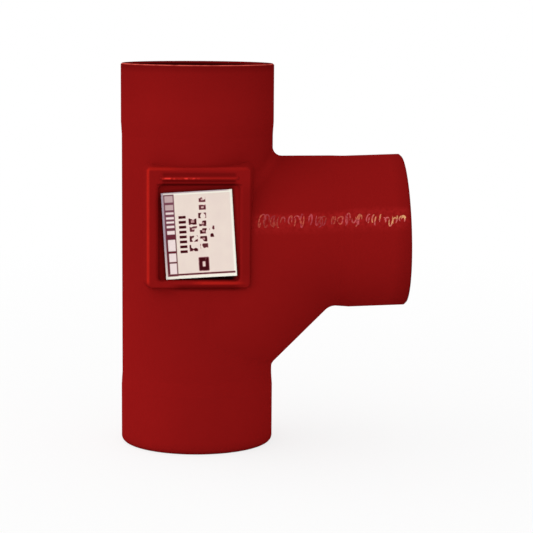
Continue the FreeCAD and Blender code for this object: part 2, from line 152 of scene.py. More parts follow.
casting = joined_copy("tee_casting", tee.data, lift_of)
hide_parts("tee_body")
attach(casting, "root")
edges = np.empty(len(casting.data.loops), np.int64)
casting.data.loops.foreach_get("edge_index", edges)
open_edges = int((np.bincount(edges) != 2).sum())
print("the fuller casting:", len(casting.data.vertices), "points,", open_edges, "open edges")

# %% [markdown]
# A finish is a net of nodes, and a net is easier to read as a formula. One way is to add each node
# and each link by hand, which takes three lines for a single sum. Here a small class stands for one
# output socket, and Python's own signs on it add the Math nodes. Every other kind of node comes
# from one method, which takes the kind, its settings and what goes into its sockets.

# %% A socket that can be reckoned with
class Shade:
    """One output socket of a finish. A sign such as + or * on it adds a Math node."""

    def __init__(self, tree, socket):
        self.tree, self.socket = tree, socket

    @classmethod
    def node(cls, tree, kind, settings=(), sockets=(), output=0):
        """Adds a node of that kind: first its settings, then the values or links of its sockets."""
        made = tree.nodes.new("ShaderNode" + kind)
        for name, value in dict(settings).items():
            setattr(made, name, value)
        for name, value in dict(sockets).items():
            if isinstance(value, cls):
                tree.links.new(value.socket, made.inputs[name])
            else:
                made.inputs[name].default_value = value
        return cls(tree, made.outputs[output]) if made.outputs else None

    def math(self, operation, first, second=0.0, clamp=False):
        settings = {"operation": operation, "use_clamp": clamp}
        return Shade.node(self.tree, "Math", settings, {0: first, 1: second})

    def __add__(self, other): return self.math("ADD", self, other)
    def __radd__(self, other): return self.math("ADD", other, self)
    def __sub__(self, other): return self.math("SUBTRACT", self, other)
    def __rsub__(self, other): return self.math("SUBTRACT", other, self)
    def __mul__(self, other): return self.math("MULTIPLY", self, other)
    def __rmul__(self, other): return self.math("MULTIPLY", other, self)
    def __truediv__(self, other): return self.math("DIVIDE", self, other)
    def __rtruediv__(self, other): return self.math("DIVIDE", other, self)
    def __pow__(self, other): return self.math("POWER", self, other)
    def __abs__(self): return self.math("ABSOLUTE", self)
    def __gt__(self, other): return self.math("GREATER_THAN", self, other)
    def __lt__(self, other): return self.math("LESS_THAN", self, other)


# %% [markdown]
# Every finish starts the same way, with an empty material and the place on the surface. Places are
# read from Object coordinates, because these are the casting's own metres, so a band at 80 mm above
# the foot stays there from every side. The coat is the first finish to start.

# %% An empty finish for the coat
def new_finish(name):
    """An empty material, its node tree and the place on the object in millimetres."""
    material = bpy.data.materials.new(name)
    material.use_nodes = True
    tree = material.node_tree
    tree.nodes.clear()
    place = Shade.node(tree, "TexCoord", output="Object")
    place = Shade.node(tree, "VectorMath", {"operation": "SCALE"}, {0: place, "Scale": 1 / MM})
    return material, tree, place


def apart(tree, vector):
    """The three numbers of a vector."""
    return [Shade.node(tree, "SeparateXYZ", (), {0: vector}, axis) for axis in (0, 1, 2)]


coat, tree, place = new_finish("epoxy_coat")
x, y, z = apart(tree, place)
print("empty coat with its places:", len(tree.nodes), "nodes")

# %% [markdown]
# A pattern is built from three shapes: patches of grey, a slope from 0 to 1, and a band between two
# slopes. The coat needs a fine mottle and broader patches where it is thin. Both, and the front of
# the casting, are wanted again by several of the steps that follow, so they are made here.

# %% The patterns of the coat
def patches(tree, place, size, detail=2.0, roughness=0.5):
    """A grey from 0 to 1 that varies over patches of about that many millimetres."""
    sockets = {"Vector": place, "Scale": 1 / size, "Detail": detail, "Roughness": roughness}
    return Shade.node(tree, "TexNoise", {"noise_dimensions": "3D"}, sockets)


def rising(value, start, soft):
    """0 well below start, 1 well above it, and between them a straight slope that is soft wide."""
    return value.math("ADD", (value - start) / soft, 0.5, clamp=True)


def band(value, low, high, soft):
    """1 between low and high, 0 outside, with soft edges."""
    return rising(value, low, soft) * (1 - rising(value, high, soft))


mottle = patches(tree, place, 5, 3.0, 0.55)
thin = rising(patches(tree, place, 38, 1.0) * 0.7 + mottle * 0.3, 0.46, 0.7)
front = 1 - rising(y, -26.5, 0.5)
print("with its patterns:", len(tree.nodes), "nodes")

# %% [markdown]
# The coat is an epoxy of about 0.07 mm that is sprayed or dipped over a sand-cast skin. It is a
# little brighter where it is thin and darker where it is thick. Low down on the run it is lighter
# again, and that is painted light, strongest on the right under the branch. All of this could be
# painted as a picture, but a picture needs unwrapping and blurs up close, so it is worked out from
# the place on the casting. The colour starts here, and each of the next cells takes the colour so
# far and blends one more thing into it.

# %% The plain coat
COAT_RED = (0.262, 0.0070, 0.0069)
COAT_THIN = (0.290, 0.0080, 0.0076)
COAT_THICK = (0.230, 0.0060, 0.0062)
# The lighter red of the lower run is painted light.
LOW_RUN_PAINTED_LIGHT = (0.325, 0.0086, 0.0084)


def blend(tree, share, first, second):
    """The first colour where share is 0 and the second where it is 1."""
    first, second = [c if isinstance(c, Shade) else (*c, 1.0) for c in (first, second)]
    return Shade.node(tree, "Mix", {"data_type": "RGBA"}, {0: share, 6: first, 7: second}, 2)


colour = blend(tree, 0.4, blend(tree, thin, COAT_THICK, COAT_THIN), COAT_RED)
# Painted light on the lower run, strongest on the right under the branch.
low = 0.22 * (1 - rising(x, -10, 16)) + 0.72 * rising(x, 17, 20)
colour = blend(tree, (1 - rising(z, 42, 44)) * low, colour, LOW_RUN_PAINTED_LIGHT)
print("with its plain colour:", len(tree.nodes), "nodes")

# %% [markdown]
# Towards the brink of all three ends, and a little up the left of the run as well, the coat is
# darkened by painted shade. The mouth's dark edge is the widest, and the one at the foot starts
# lowest.

# %% The painted shade at the brinks
# The dark red of every painted shade on the coat.
PAINTED_SHADE = (0.055, 0.0010, 0.0012)
head = rising(z, RUN_HEIGHT - 1.8, 2.8) + 0.4 * rising(z, RUN_HEIGHT - 9, 14)
foot = 0.8 * (1 - rising(z, 1.8, 5.0))
mouth = 1.15 * rising(x, MOUTH - 2.4, 8.0)
left = 0.2 * (1 - rising(x, -22, 8)) * rising(z, 62, 30)
# Painted shade at the brinks and up the left of the run.
colour = blend(tree, (head + foot + mouth + left) * 0.3, colour, PAINTED_SHADE)
print("with its darker brinks:", len(tree.nodes), "nodes")

# %% [markdown]
# When the marks were sprayed along the branch, a fine mist of ink fell beside them. It tints the
# coat in a soft band on the front of the branch, broken up by a speckle of about a millimetre.

# %% The mist round the marks
OVERSPRAY = (0.42, 0.016, 0.016)
mist = front * band(x, 20.0, 77.5, 3.0) * band(over_branch(x, z), 4.2, 11.4, 3.6)
speckle = rising(patches(tree, place, 1.3, 3.0), 0.48, 0.3)
colour = blend(tree, mist * speckle * 0.5, colour, OVERSPRAY)
print("with the mist:", len(tree.nodes), "nodes")

# %% [markdown]
# The pad gets a painted highlight along its outer edge, most of all on the left and upper left,
# where the light falls. An edge like this could be found by the bend of the surface, but that can't
# tell lit edges from shaded ones, so each highlighted stretch is given as a thin band across times
# a thin band up.

# %% The painted highlight on the pad's edge
# Painted highlight for the edges of the pad and the bead.
EDGE_HIGHLIGHT = (0.47, 0.014, 0.009)
left = band(x, -PAD_SIDE - 0.5, -PAD_SIDE + 0.6, 0.5) * band(z, PAD_FOOT + 1.5, PAD_HEAD, 1.5)
head = band(z, PAD_HEAD - 0.7, PAD_HEAD + 0.4, 0.5) * band(x, -18.5, 17.5, 2.0)
foot = band(z, PAD_FOOT + 1.2, PAD_FOOT + 2.3, 0.4) * band(x, -1, 15, 5.0)
# Painted highlight along the pad's edge, strongest on the left.
pad_highlight = left + head * (0.62 - 0.4 * rising(x, -9, 6)) + foot * 0.8
pad_highlight = front * pad_highlight * (1 - 0.7 * rising(y, -28.2, 1.6))
print("with the pad's edge:", len(tree.nodes), "nodes")

# %% [markdown]
# The bead over the recess stands proudest of all. Its top gets a painted highlight like the pad's
# edge, and on the left the highlight breaks into painted glints, where small patches pass a
# threshold.

# %% The bead's painted highlight and glints
BEAD_GLINT = (0.86, 0.042, 0.032)
on_bead = front * band(x, -BEAD_SIDE, BEAD_SIDE, 1.0)
over_bead = z - BEAD_HEIGHT
bead_highlight = on_bead * band(over_bead, -0.3, 0.25, 0.3) * (0.5 + 0.25 * (1 - rising(x, 0, 5)))
painted_highlight = pad_highlight + bead_highlight
painted_highlight = painted_highlight.math("MULTIPLY", painted_highlight, 0.6 + mottle * 0.5, clamp=True)
# Painted highlight on the pad's edge and the bead's top.
colour = blend(tree, painted_highlight, colour, EDGE_HIGHLIGHT)
# Painted glints that break up the bead's highlight on the left.
bead_glints = on_bead * band(over_bead, -0.35, 0.2, 0.2) * (1 - rising(x, -1, 4))
bead_glints = bead_glints * rising(patches(tree, place, 1.7, 2.0), 0.50, 0.10)
colour = blend(tree, bead_glints * 0.9, colour, BEAD_GLINT)
print("with the bead:", len(tree.nodes), "nodes")

# %% [markdown]
# Painted shade darkens the hollows round the pad: the recess and its left wall, both sides of the
# bead, the top of the recess and a strip beside it on the right, with a painted shadow under the
# pad. The left wall darkens upwards and clears again in its upper corner. The shares are added
# first, and then the colour is blended once.

# %% The painted shade in the hollows
CORNER_FOOT = 97.5
recess = front * band(x, -RECESS_SIDE - 0.5, RECESS_SIDE + 0.5, 0.6) * rising(y, -29.7, 1.4)
recess = recess * band(z, RECESS_FOOT - 0.4, RECESS_HEAD + 0.2, 0.5)
above_foot = rising(z, RECESS_FOOT + 0.8, 0.5)
# Painted shade in the recess and on its left wall.
hollow_shade = recess * above_foot * (1 - 0.85 * rising(x, 12.6, 1.6)) * 0.36
wall = front * band(x, -15.7, -12.0, 2.4) * band(z, RECESS_FOOT + 0.6, RECESS_HEAD, 1.0)
hollow_shade = hollow_shade + wall * (0.22 + 0.2 * rising(z, 85, 16)) * (1 - 0.9 * rising(z, CORNER_FOOT, 3))
# Painted shade along both sides of the bead and under the top of the recess.
below = 1.4 * band(over_bead, -1.15, -0.7, 0.3) + 0.9 * band(over_bead, -2.55, -0.95, 0.4)
above = 0.9 * band(over_bead, 0.7, 2.05, 0.7)
recess_top = front * band(x, -15.6, 15.6, 1.0) * band(over_bead, -2.7, -2.05, 0.4)
hollow_shade = hollow_shade + (on_bead * (below + above) + recess_top) * 0.42
# Painted shade beside the recess on the right, and a painted shadow under the pad.
right_side = band(x, 16.0, 19.2, 1.0) * band(z, RECESS_FOOT + 0.6, 101.0, 6.0)
under_pad = band(x, -9.0, 15.5, 5.0) * band(z, PAD_FOOT - 1.2, PAD_FOOT + 1.1, 0.9)
hollow_shade = hollow_shade + front * (right_side * 0.16 + under_pad * 0.5)
colour = blend(tree, hollow_shade.math("MINIMUM", hollow_shade, 0.9), colour, PAINTED_SHADE)
print("with its pools:", len(tree.nodes), "nodes")

# %% [markdown]
# A painted shadow lies close round the film, where it meets the floor of the recess, and darkest
# under its foot. The film lies askew, so the shadow is read along the film's own turned sides: how
# far across and how far up the film a place lies.

# %% The painted shadow round the film
FILM_SHADOW = (0.008, 0.0004, 0.0005)


def round_the_film(x, z, margin, soft):
    """1 under the film and up to margin mm round it, read along the film's own turned sides."""
    side, height = x - film_middle[0], z - film_middle[1]
    across = side * math.cos(FILM_TURN) + height * math.sin(FILM_TURN)
    up = height * math.cos(FILM_TURN) - side * math.sin(FILM_TURN)
    half_width, half_height = FILM_WIDTH / 2 + margin, FILM_HEIGHT / 2 + margin
    return band(across, -half_width, half_width, soft) * band(up, -half_height, half_height, soft)


# The upper left of the recess gets less of the painted shadow.
corner_less_shadow = 0.35 * rising(z, CORNER_FOOT, 2) * (1 - rising(x, -12, 3))
near_film = recess * round_the_film(x, z, 0.5, 1.9) * (0.8 - corner_less_shadow)
under_film = recess * band(x, -10, 13.8, 3.0) * band(z, RECESS_FOOT + 0.6, 70.0, 0.35)
film_shadow = near_film.math("MAXIMUM", near_film, under_film)
# Painted shadow round the film and under its foot.
colour = blend(tree, film_shadow * above_foot, colour, FILM_SHADOW)
print("with the grime:", len(tree.nodes), "nodes")

# %% [markdown]
# Inside, painted shade darkens the walls of the waterway, and deep down, far from the ends, painted
# light brings back some of their red. To tell the inside from the skin, a place is measured from
# the axes of the run, of the branch and of the throat. What lies nearer to one of them than the
# middle of the wall is inside.

# %% The painted shade of the waterway
INSIDE_SHADE = (0.022, 0.0006, 0.0007)


def inside_of(x, y, z):
    """1 on the walls of the waterway. A place is inside where it lies less than the radius of the
    middle of the wall from the axis of the run, of the branch or of the throat, which climbs from
    the run at 45 degrees."""
    from_run = (x * x + y * y) ** 0.5
    over = over_branch(x, z)
    from_branch = (over * over + y * y) ** 0.5
    under_throat = (x - z + THROAT_HEIGHT) * math.sqrt(0.5)
    under_throat = under_throat.math("MAXIMUM", under_throat, 0.0)
    from_throat = (under_throat * under_throat + y * y) ** 0.5
    side_way = (from_branch < MID_WALL) + (over < 0) * (from_throat < MID_WALL)
    way = (from_run < MID_WALL) + (x > 0) * side_way
    return way.math("MINIMUM", way, 1.0)


inside = inside_of(x, y, z)
# Painted shade over the walls of the waterway.
bore_shade = inside * band(z, 0.7, RUN_HEIGHT - 0.7, 0.6) * (1 - rising(x, MOUTH - 1.2, 0.8))
colour = blend(tree, bore_shade * 0.92, colour, INSIDE_SHADE)
# Painted light deep inside, far from the ends, brings back some of the red.
far_in_light = bore_shade * band(z, 26, 119, 22) * (1 - rising(x, 60, 22))
colour = blend(tree, far_in_light * 0.55, colour, COAT_THICK)
print("with the waterway:", len(tree.nodes), "nodes")

# %% [markdown]
# The cut faces of the three ends are duller than the skin, and painted shade darkens them. The
# outer edge of the upper one gets a painted highlight, stronger in front than behind, and broken
# by the mottle.

# %% The cut ends
RIM_HIGHLIGHT = (0.70, 0.10, 0.075)
end_face = (1 - band(z, 0.25, RUN_HEIGHT - 0.15, 0.25)) + rising(x, MOUTH + 0.2, 0.3)
# Painted shade on the cut faces of the three ends.
colour = blend(tree, end_face * 0.5, colour, PAINTED_SHADE)
# Painted highlight along the outer edge of the upper end.
rim_highlight = rising(z, RUN_HEIGHT - 0.28, 0.2) * rising((x * x + y * y) ** 0.5, END_RADIUS - 0.8, 0.5)
rim_highlight = rim_highlight * (1 - 0.6 * rising(y, -2, 14)) * (0.4 + 0.6 * rising(mottle, 0.48, 0.2))
colour = blend(tree, rim_highlight, colour, RIM_HIGHLIGHT)
print("with its ends:", len(tree.nodes), "nodes")

# %% [markdown]
# The coat hides the grains of the sand but not their swell, and a faint seam shows where the two
# halves of the mould met, in the plane of both pipes. These are bumps: they bend the light and
# leave the shape alone. The photographed coat shows no shine, not even where it is seen at a slant,
# so the shader's specular level is nought.

# %% The relief of the coat, and the coat put on
def bump(tree, height, depth, normal=None):
    """Bends the light as if the surface rose by depth millimetres where height is 1."""
    sockets = {"Height": height, "Distance": depth * MM, "Strength": 1.0}
    if normal is not None:
        sockets["Normal"] = normal
    return Shade.node(tree, "Bump", (), sockets)


def dress(piece, material, sockets):
    """Ends a finish in a shader with those values on its sockets, and puts it on a piece."""
    tree = material.node_tree
    shader = Shade.node(tree, "BsdfPrincipled", (), sockets)
    Shade.node(tree, "OutputMaterial", (), {"Surface": shader})
    piece.data.materials.append(material)
    print(material.name, "on", piece.name, "takes", len(tree.nodes), "nodes")


seam = (1 - inside) * (1 - rising(abs(y), 0.35, 0.5))
normal = bump(tree, patches(tree, place, 9, 1.0), 0.10)
normal = bump(tree, patches(tree, place, 1.6, 3.0, 0.6), 0.012, normal)
normal = bump(tree, seam, 0.10, normal)
dull = 0.42 + mottle * 0.1 + seam * 0.1 + end_face * 0.45
dress(casting, coat, {
    "Base Color": colour, "Roughness": dull, "Normal": normal,
    "Metallic": 0.0, "IOR": 1.04, "Specular IOR Level": 0.0,
})

# %% [markdown]
# The label is a rectangle of printed film, 26.1 by 32 mm and 0.15 mm thick, glued a little askew on
# the floor of the recess. Its lower right corner has let go and stands off. A flat box can't show
# that, so the film is a grid of points: the place across and the place up the film are its two
# numbers, and how far a point stands off the floor grows from the middle to that corner.

# %% The points of the film
def film_points(columns=88, rows=108):
    """Across and up run over the film. The lift is 1.15 mm times the square of how far a point lies
    past the middle towards the lower right corner, and the sheet is turned in its own plane."""
    up, across = np.meshgrid(np.linspace(0, 1, rows), np.linspace(0, 1, columns), indexing="ij")
    towards = np.clip((0.62 * across + 0.55 * (1 - up) - 0.62) / 0.55, 0, None)
    lift = 1.15 * towards ** 2 + 0.10 * np.clip(0.12 - up, 0, None) / 0.12
    side = (across - 0.5) * FILM_WIDTH
    height = (up - 0.5) * FILM_HEIGHT
    x = film_middle[0] + side * np.cos(FILM_TURN) - height * np.sin(FILM_TURN)
    z = film_middle[1] + side * np.sin(FILM_TURN) + height * np.cos(FILM_TURN)
    return np.stack([x, film_front - lift, z], -1), np.stack([across, up], -1)


points, flats = film_points()
lifted = film_front - float(points[..., 1].min())
print("film:", points.shape[:2], "points, its corner lifted by", round(lifted, 2), "mm")

# %% [markdown]
# Each four neighbours of the grid become a face, and their places on the flat film become the UV
# map that the print will follow. A Solidify modifier then gives the sheet its thickness, inwards,
# so that its printed side stays where the points are.

# %% The film label
def sheet_mesh(name, points, flats):
    """Joins each four neighbours of a (rows, columns, 3) grid to a face. The flats are the places
    on the flat sheet from 0 to 1, and they become the UV map."""
    rows, columns = points.shape[:2]
    number = np.arange(rows * columns).reshape(rows, columns)
    faces = np.stack([number[:-1, :-1], number[:-1, 1:], number[1:, 1:], number[1:, :-1]], -1)
    mesh = bpy.data.meshes.new(name)
    mesh.from_pydata(points.reshape(-1, 3) * MM, [], faces.reshape(-1, 4))
    places = mesh.uv_layers.new(name="UVMap")
    corners = np.zeros(len(mesh.loops), np.int32)
    mesh.loops.foreach_get("vertex_index", corners)
    places.data.foreach_set("uv", flats.reshape(-1, 2)[corners].ravel())
    mesh.shade_smooth()
    return put(name, mesh)


label = sheet_mesh("label_film", points, flats)
thickness = label.modifiers.new("thickness", "SOLIDIFY")
thickness.thickness, thickness.offset = FILM_THICK * MM, -1.0
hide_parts("identification_label")
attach(label, "root")
print("label:", len(label.data.polygons), "faces before the modifier gives it its thickness")

# %% [markdown]
# The film is cream. It darkens a little to the right and in patches. Its margins are white, with a
# painted highlight along the right edge. Its upper brink is a mauve painted shade, and its left
# brink turns mauve as well. The print has to follow the film where it curls, so it is read from the
# film's own UV map, in millimetres across, up and down.

# %% The paper of the film
FILM_CREAM = (0.92, 0.795, 0.70)
FILM_SHADE = (0.835, 0.685, 0.63)
FILM_MARGIN_AND_HIGHLIGHT = (1.0, 0.98, 0.86)
MAUVE = (0.46, 0.37, 0.44)
film, tree, _ = new_finish("printed_film")
flat = Shade.node(tree, "UVMap", {"uv_map": "UVMap"})
share_across, share_up, _ = apart(tree, flat)
across, up = share_across * FILM_WIDTH, share_up * FILM_HEIGHT
down = FILM_HEIGHT - up
paper = patches(tree, flat, 0.22, 3.0)
shaded = rising(paper + share_across * 0.2 - share_up * 0.1, 0.55, 0.6)
colour = blend(tree, shaded * 0.6, FILM_CREAM, FILM_SHADE)
# White margins of the print, with a painted highlight along the right edge.
margin = rising(across, FILM_WIDTH - 0.9, 0.4) + (1 - rising(up, 1.0, 0.4))
margin = margin + band(down, 0.45, 1.0, 0.3)
colour = blend(tree, margin.math("MULTIPLY", margin, 0.95, clamp=True), colour, FILM_MARGIN_AND_HIGHLIGHT)
# Painted shade along the upper brink, in mauve.
head = (1 - rising(down, 0.42, 0.2)) * (1 - rising(across, 24.5, 1.5))
colour = blend(tree, head * 0.75, colour, MAUVE)
left = (1 - rising(across, 0.75 + down * 0.012, 0.3)) * (1 - 0.8 * rising(down, 24, 14))
colour = blend(tree, left, colour, MAUVE)
print("paper:", len(tree.nodes), "nodes")

# %% [markdown]
# A plum band runs down the left side of the film and holds pale blocks. Both are greyer at the head
# than at the foot. A bar is a band across times a band up. The blocks are a short list of where
# each starts and ends, in millimetres from the head, so a block is moved by changing one pair.

# %% The band and its blocks
PLUM_GREY = (0.19, 0.055, 0.085)
PLUM_PALE = (0.13, 0.012, 0.022)
PALE_BLOCK = (0.98, 0.82, 0.80)
GREY_BLOCK = (0.62, 0.44, 0.44)
BLOCKS = [(1.2, 3.6), (4.5, 6.4), (7.2, 8.0), (9.0, 9.8), (10.6, 11.3), (12.2, 13.0),
          (14.1, 15.4), (17.4, 21.6), (22.5, 25.6), (26.2, 30.4)]


def bar(across, up, left, right, low, high, soft=0.3):
    """1 inside a rectangle of the film."""
    return band(across, left, right, soft) * band(up, low, high, soft)


band_colour = blend(tree, rising(down, 14, 8), PLUM_GREY, PLUM_PALE)
colour = blend(tree, bar(across, down, 0.75, 4.6, 0.7, 31.0), colour, band_colour)
block_colour = blend(tree, rising(down, 7, 2), GREY_BLOCK, PALE_BLOCK)
for top, foot in BLOCKS:
    block = bar(across, down, 1.15 + 0.02 * top, 4.2, top, foot)
    colour = blend(tree, block * 0.95, colour, block_colour)
print("with", len(BLOCKS), "blocks:", len(tree.nodes), "nodes")

# %% [markdown]
# The dark marks are a thin rule along the foot, eight short dashes beside the band, a plain square
# ring and three columns of broken marks. A column repeats one bar, and a White Noise node gives
# each step of the column its own fixed number for the bar's length, width and strength.

# %% The dark marks
RULE = (0.9, 25.6, 1.2, 1.85)
DASHES, DASH_PITCH = (5.9, 8.5, 8.6, 23.1), 1.82
RING, RING_HOLE = (12.4, 16.1, 24.5, 29.5), (13.7, 14.8, 26.0, 28.0)
COLUMNS = [(9.3, 12.7, 9.4, 22.4, 3.25, 3), (13.1, 16.2, 2.0, 22.0, 2.86, 27),
           (16.9, 18.9, 12.8, 17.6, 2.4, 41)]


def column_of_marks(tree, across, down, left, right, top, foot, pitch, seed):
    """A column of marks, one to each pitch: a bar with its own length, width and strength. A
    blotchy grey eats bites from it, and its middle is paler, so that it looks like worn print."""
    step = (down - top) / pitch
    number = step.math("FLOOR", step)
    within = step - number
    own, other = [Shade.node(tree, "TexWhiteNoise", {"noise_dimensions": "1D"}, {"W": number + w})
                  for w in (seed, seed + 50)]
    low, high = 0.08 + own * 0.10, own * 0.25 + 0.68
    near, far = left + other * 0.6, right - own * 0.4
    mark = band(within, low, high, 0.11) * band(across, near, far, 0.34)
    core = band(within, low + 0.20, high - 0.20, 0.08) * band(across, near + 0.75, far - 0.75, 0.22)
    spot = Shade.node(tree, "CombineXYZ", (), {"X": across, "Y": down, "Z": seed * 1.7})
    bites = rising(patches(tree, spot, 1.5, 0.0), 0.43, 0.08)
    strength = bites * (1 - 0.6 * core * (other > 0.35)) * (0.8 + 0.2 * (own > 0.3))
    return mark * strength * band(down, top, foot, 0.1)


step = (down - DASHES[2]) / DASH_PITCH
dash = band(step - step.math("FLOOR", step), 0.12, 0.66, 0.1) * bar(across, down, *DASHES)
ring = bar(across, down, *RING, 0.6) - 0.9 * bar(across, down, *RING_HOLE, 0.5)
marks = bar(across, up, *RULE) * 0.8 + dash + ring
for column in COLUMNS:
    marks = marks + column_of_marks(tree, across, down, *column)
print("with", len(COLUMNS), "columns of marks:", len(tree.nodes), "nodes")

# %% [markdown]
# Ink on film bleeds. Where the share of ink is small the paper turns a pale plum, and only where it
# is large does it turn the full plum, so every mark gets a soft rim. Fine wear thins the ink, and
# it stands a hundredth of a millimetre proud.

# %% The ink on the film
PLUM = (0.052, 0.0010, 0.004)
BLEED = (0.42, 0.13, 0.16)
faded = 1 - rising(patches(tree, flat, 0.05, 2.0), 0.62, 0.12) * 0.25
ink = marks.math("MULTIPLY", marks, faded, clamp=True)
colour = blend(tree, rising(ink, 0.3, 0.5), colour, BLEED)
colour = blend(tree, rising(ink, 0.62, 0.5), colour, PLUM)
normal = bump(tree, ink, 0.01, bump(tree, paper, 0.02))
dress(label, film, {
    "Base Color": colour, "Roughness": 0.42 + paper * 0.1, "Normal": normal,
    "Specular IOR Level": 0.05,
})

# %% [markdown]
# A jet of pale ink has left one line of marks along the branch while the fitting passed on a belt.
# The ink lies on the coat as thin raised strokes, worn on the left and fresh near the mouth. They
# could be painted in the coat's own nodes, but a curved stroke is far simpler as a ribbon: a short
# bent line laid on the branch, with a crown across its width and both edges sunk in the coat.

# %% The skin of the branch
def branch_skin(along, round_it, proud):
    """A place along the branch's axis and an arc length up its front become a point, proud mm off
    the skin. The skin's radius is the branch's own, and over the taper it widens evenly to that of
    the end."""
    taper = np.clip((along - TAPER_START) / TAPER_LENGTH, 0, 1)
    radius = BRANCH_RADIUS + (END_RADIUS - BRANCH_RADIUS) * taper
    turn = round_it / radius
    out = (radius + proud) * np.cos(turn)
    over = (radius + proud) * np.sin(turn)
    x = along * math.cos(BRANCH_RISE) - over * math.sin(BRANCH_RISE)
    z = BRANCH_HEIGHT + along * math.sin(BRANCH_RISE) + over * math.cos(BRANCH_RISE)
    return np.stack([x, -out, z], -1)


at_mouth = branch_skin(np.array(MOUTH), np.array(0.0), 0.0)
print("foremost point at the mouth in mm:", at_mouth.round(2).tolist())

# %% [markdown]
# The strokes are pieces of upright ovals in a fixed random order, two to each place along the line.
# They lean a little to the right, and they get smaller towards the mouth.

# %% The lines of the strokes
def stroke_lines(signs=21, strokes=2, steps=17, seed=12):
    """Each stroke is a piece of an upright oval on the unrolled branch: middle + (half_width cos
    turn, half_height sin turn), where the turn runs from its own start through its own sweep. The
    result is a (stroke, step, 2) grid of places along and round the branch."""
    rng = np.random.default_rng(seed)
    count = signs * strokes
    fresh = np.repeat(np.linspace(0, 1, signs), strokes)
    along = 23.0 + 52.8 * fresh + rng.uniform(-0.75, 0.75, count)
    middle = 7.9 - 0.8 * fresh + rng.uniform(-0.6, 0.6, count)
    half_height = (2.6 - 0.6 * fresh) * rng.uniform(0.55, 1.0, count)
    half_width = rng.uniform(0.25, 1.35, count)
    start = rng.uniform(0, 2 * np.pi, count)
    sweep = rng.uniform(1.8, 5.0, count) * rng.choice([-1, 1], count)
    turn = start[:, None] + sweep[:, None] * np.linspace(0, 1, steps)
    over = half_height[:, None] * np.sin(turn)
    aside = half_width[:, None] * np.cos(turn) + 0.18 * over
    return np.stack([along[:, None] + aside, middle[:, None] + over], -1)


lines = stroke_lines()
print("sprayed strokes:", lines.shape[0], "lines of", lines.shape[1], "points")

# %% [markdown]
# Each line becomes a ribbon of five points across. Its outer points lie in the coat and its middle
# stands a twentieth of a millimetre proud, so the light catches it as it would a dried bead of ink.

# %% The width of the strokes
def ribbon_points(line, half=0.34):
    """To each side of the line the ribbon is half mm wide, times the square root of 1 less the
    fourth power of how far a step lies from the line's middle, so it narrows towards both ends."""
    t = np.linspace(0, 1, line.shape[1])
    way = np.gradient(line, axis=1)
    way /= np.linalg.norm(way, axis=-1, keepdims=True)
    across = np.stack([-way[..., 1], way[..., 0]], -1)
    wide = half * np.sqrt(np.clip(1 - (2 * t - 1) ** 4, 0.02, 1))
    offsets = wide[None, :, None, None] * np.array([-1, -0.6, 0, 0.6, 1])[:, None]
    proud = np.array([-0.08, 0.03, 0.05, 0.03, -0.08])
    flat = line[:, :, None, :] + across[:, :, None, :] * offsets
    return flat, np.broadcast_to(proud, flat.shape[:-1])


flat, height = ribbon_points(lines)
widest = float(np.linalg.norm(flat[:, :, -1] - flat[:, :, 0], axis=-1).max())
print("points of the ribbons:", height.shape, "widest", round(widest, 2), "mm")

# %% [markdown]
# The ribbons are one piece, because they are one line of ink. Their points so far lie on the
# unrolled branch, so they are rolled onto its skin, and then each four neighbours become a face.

# %% The strokes as ribbons
def ribbons(name, flat, height):
    """All strokes as one mesh: each is a grid of (steps, 5) points on the branch's skin."""
    count, steps, width = height.shape
    points = branch_skin(flat[..., 0], flat[..., 1], height)
    number = np.arange(count * steps * width).reshape(count, steps, width)
    faces = np.stack(
        [number[:, :-1, :-1], number[:, :-1, 1:], number[:, 1:, 1:], number[:, 1:, :-1]], -1)
    mesh = bpy.data.meshes.new(name)
    mesh.from_pydata(points.reshape(-1, 3) * MM, [], faces.reshape(-1, 4)[:, ::-1])
    mesh.shade_smooth()
    return put(name, mesh)


sprayed = ribbons("sprayed_marks", flat, height)
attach(sprayed, "root")
outward = np.array([p.normal[1] for p in sprayed.data.polygons]) < 0
print("ribbons:", len(outward), "faces,", round(float(outward.mean()), 2), "of them face the front")

# %% [markdown]
# The ink is a pale cream that the red shows through where it is thin. Its cover grows from the worn
# left end to the fresh right end. A fine speckle breaks it up, as drops do that dry on gloss, and
# broader patches of it have rubbed away. Some of it has taken on the colour of the coat.

# %% The sprayed ink
INK_WORN = (0.70, 0.120, 0.070)
INK_FRESH = (0.85, 0.46, 0.20)
INK_STAINED = (0.62, 0.080, 0.120)
jet_ink, tree, place = new_finish("sprayed_ink")
x, _, _ = apart(tree, place)
speckle = patches(tree, place, 0.7, 3.0, 0.7)
fresh = rising(x, 66, 26)
rubbed = rising(patches(tree, place, 7, 0.0) + fresh * 0.15, 0.43, 0.2)
cover = rising(speckle + fresh * 0.12, 0.46, 0.24) * (0.45 + 0.55 * rubbed)
stained = rising(patches(tree, place, 3.2, 1.0), 0.52, 0.12) * 0.85
colour = blend(tree, stained, blend(tree, fresh, INK_WORN, INK_FRESH), INK_STAINED)
colour = blend(tree, cover * (0.75 + fresh * 0.25), COAT_RED, colour)
dress(sprayed, jet_ink, {
    "Base Color": colour, "Roughness": 0.45 + speckle * 0.15,
    "Normal": bump(tree, speckle, 0.02), "IOR": 1.22,
})

# %% [markdown]
# The tee stands on a pale floor. A studio often has a backdrop that curves up behind the object,
# but that would hide the tee in a view from behind. This floor is a wide flat disc with the sky all
# round it. Its rings grow outwards, so it needs few faces.

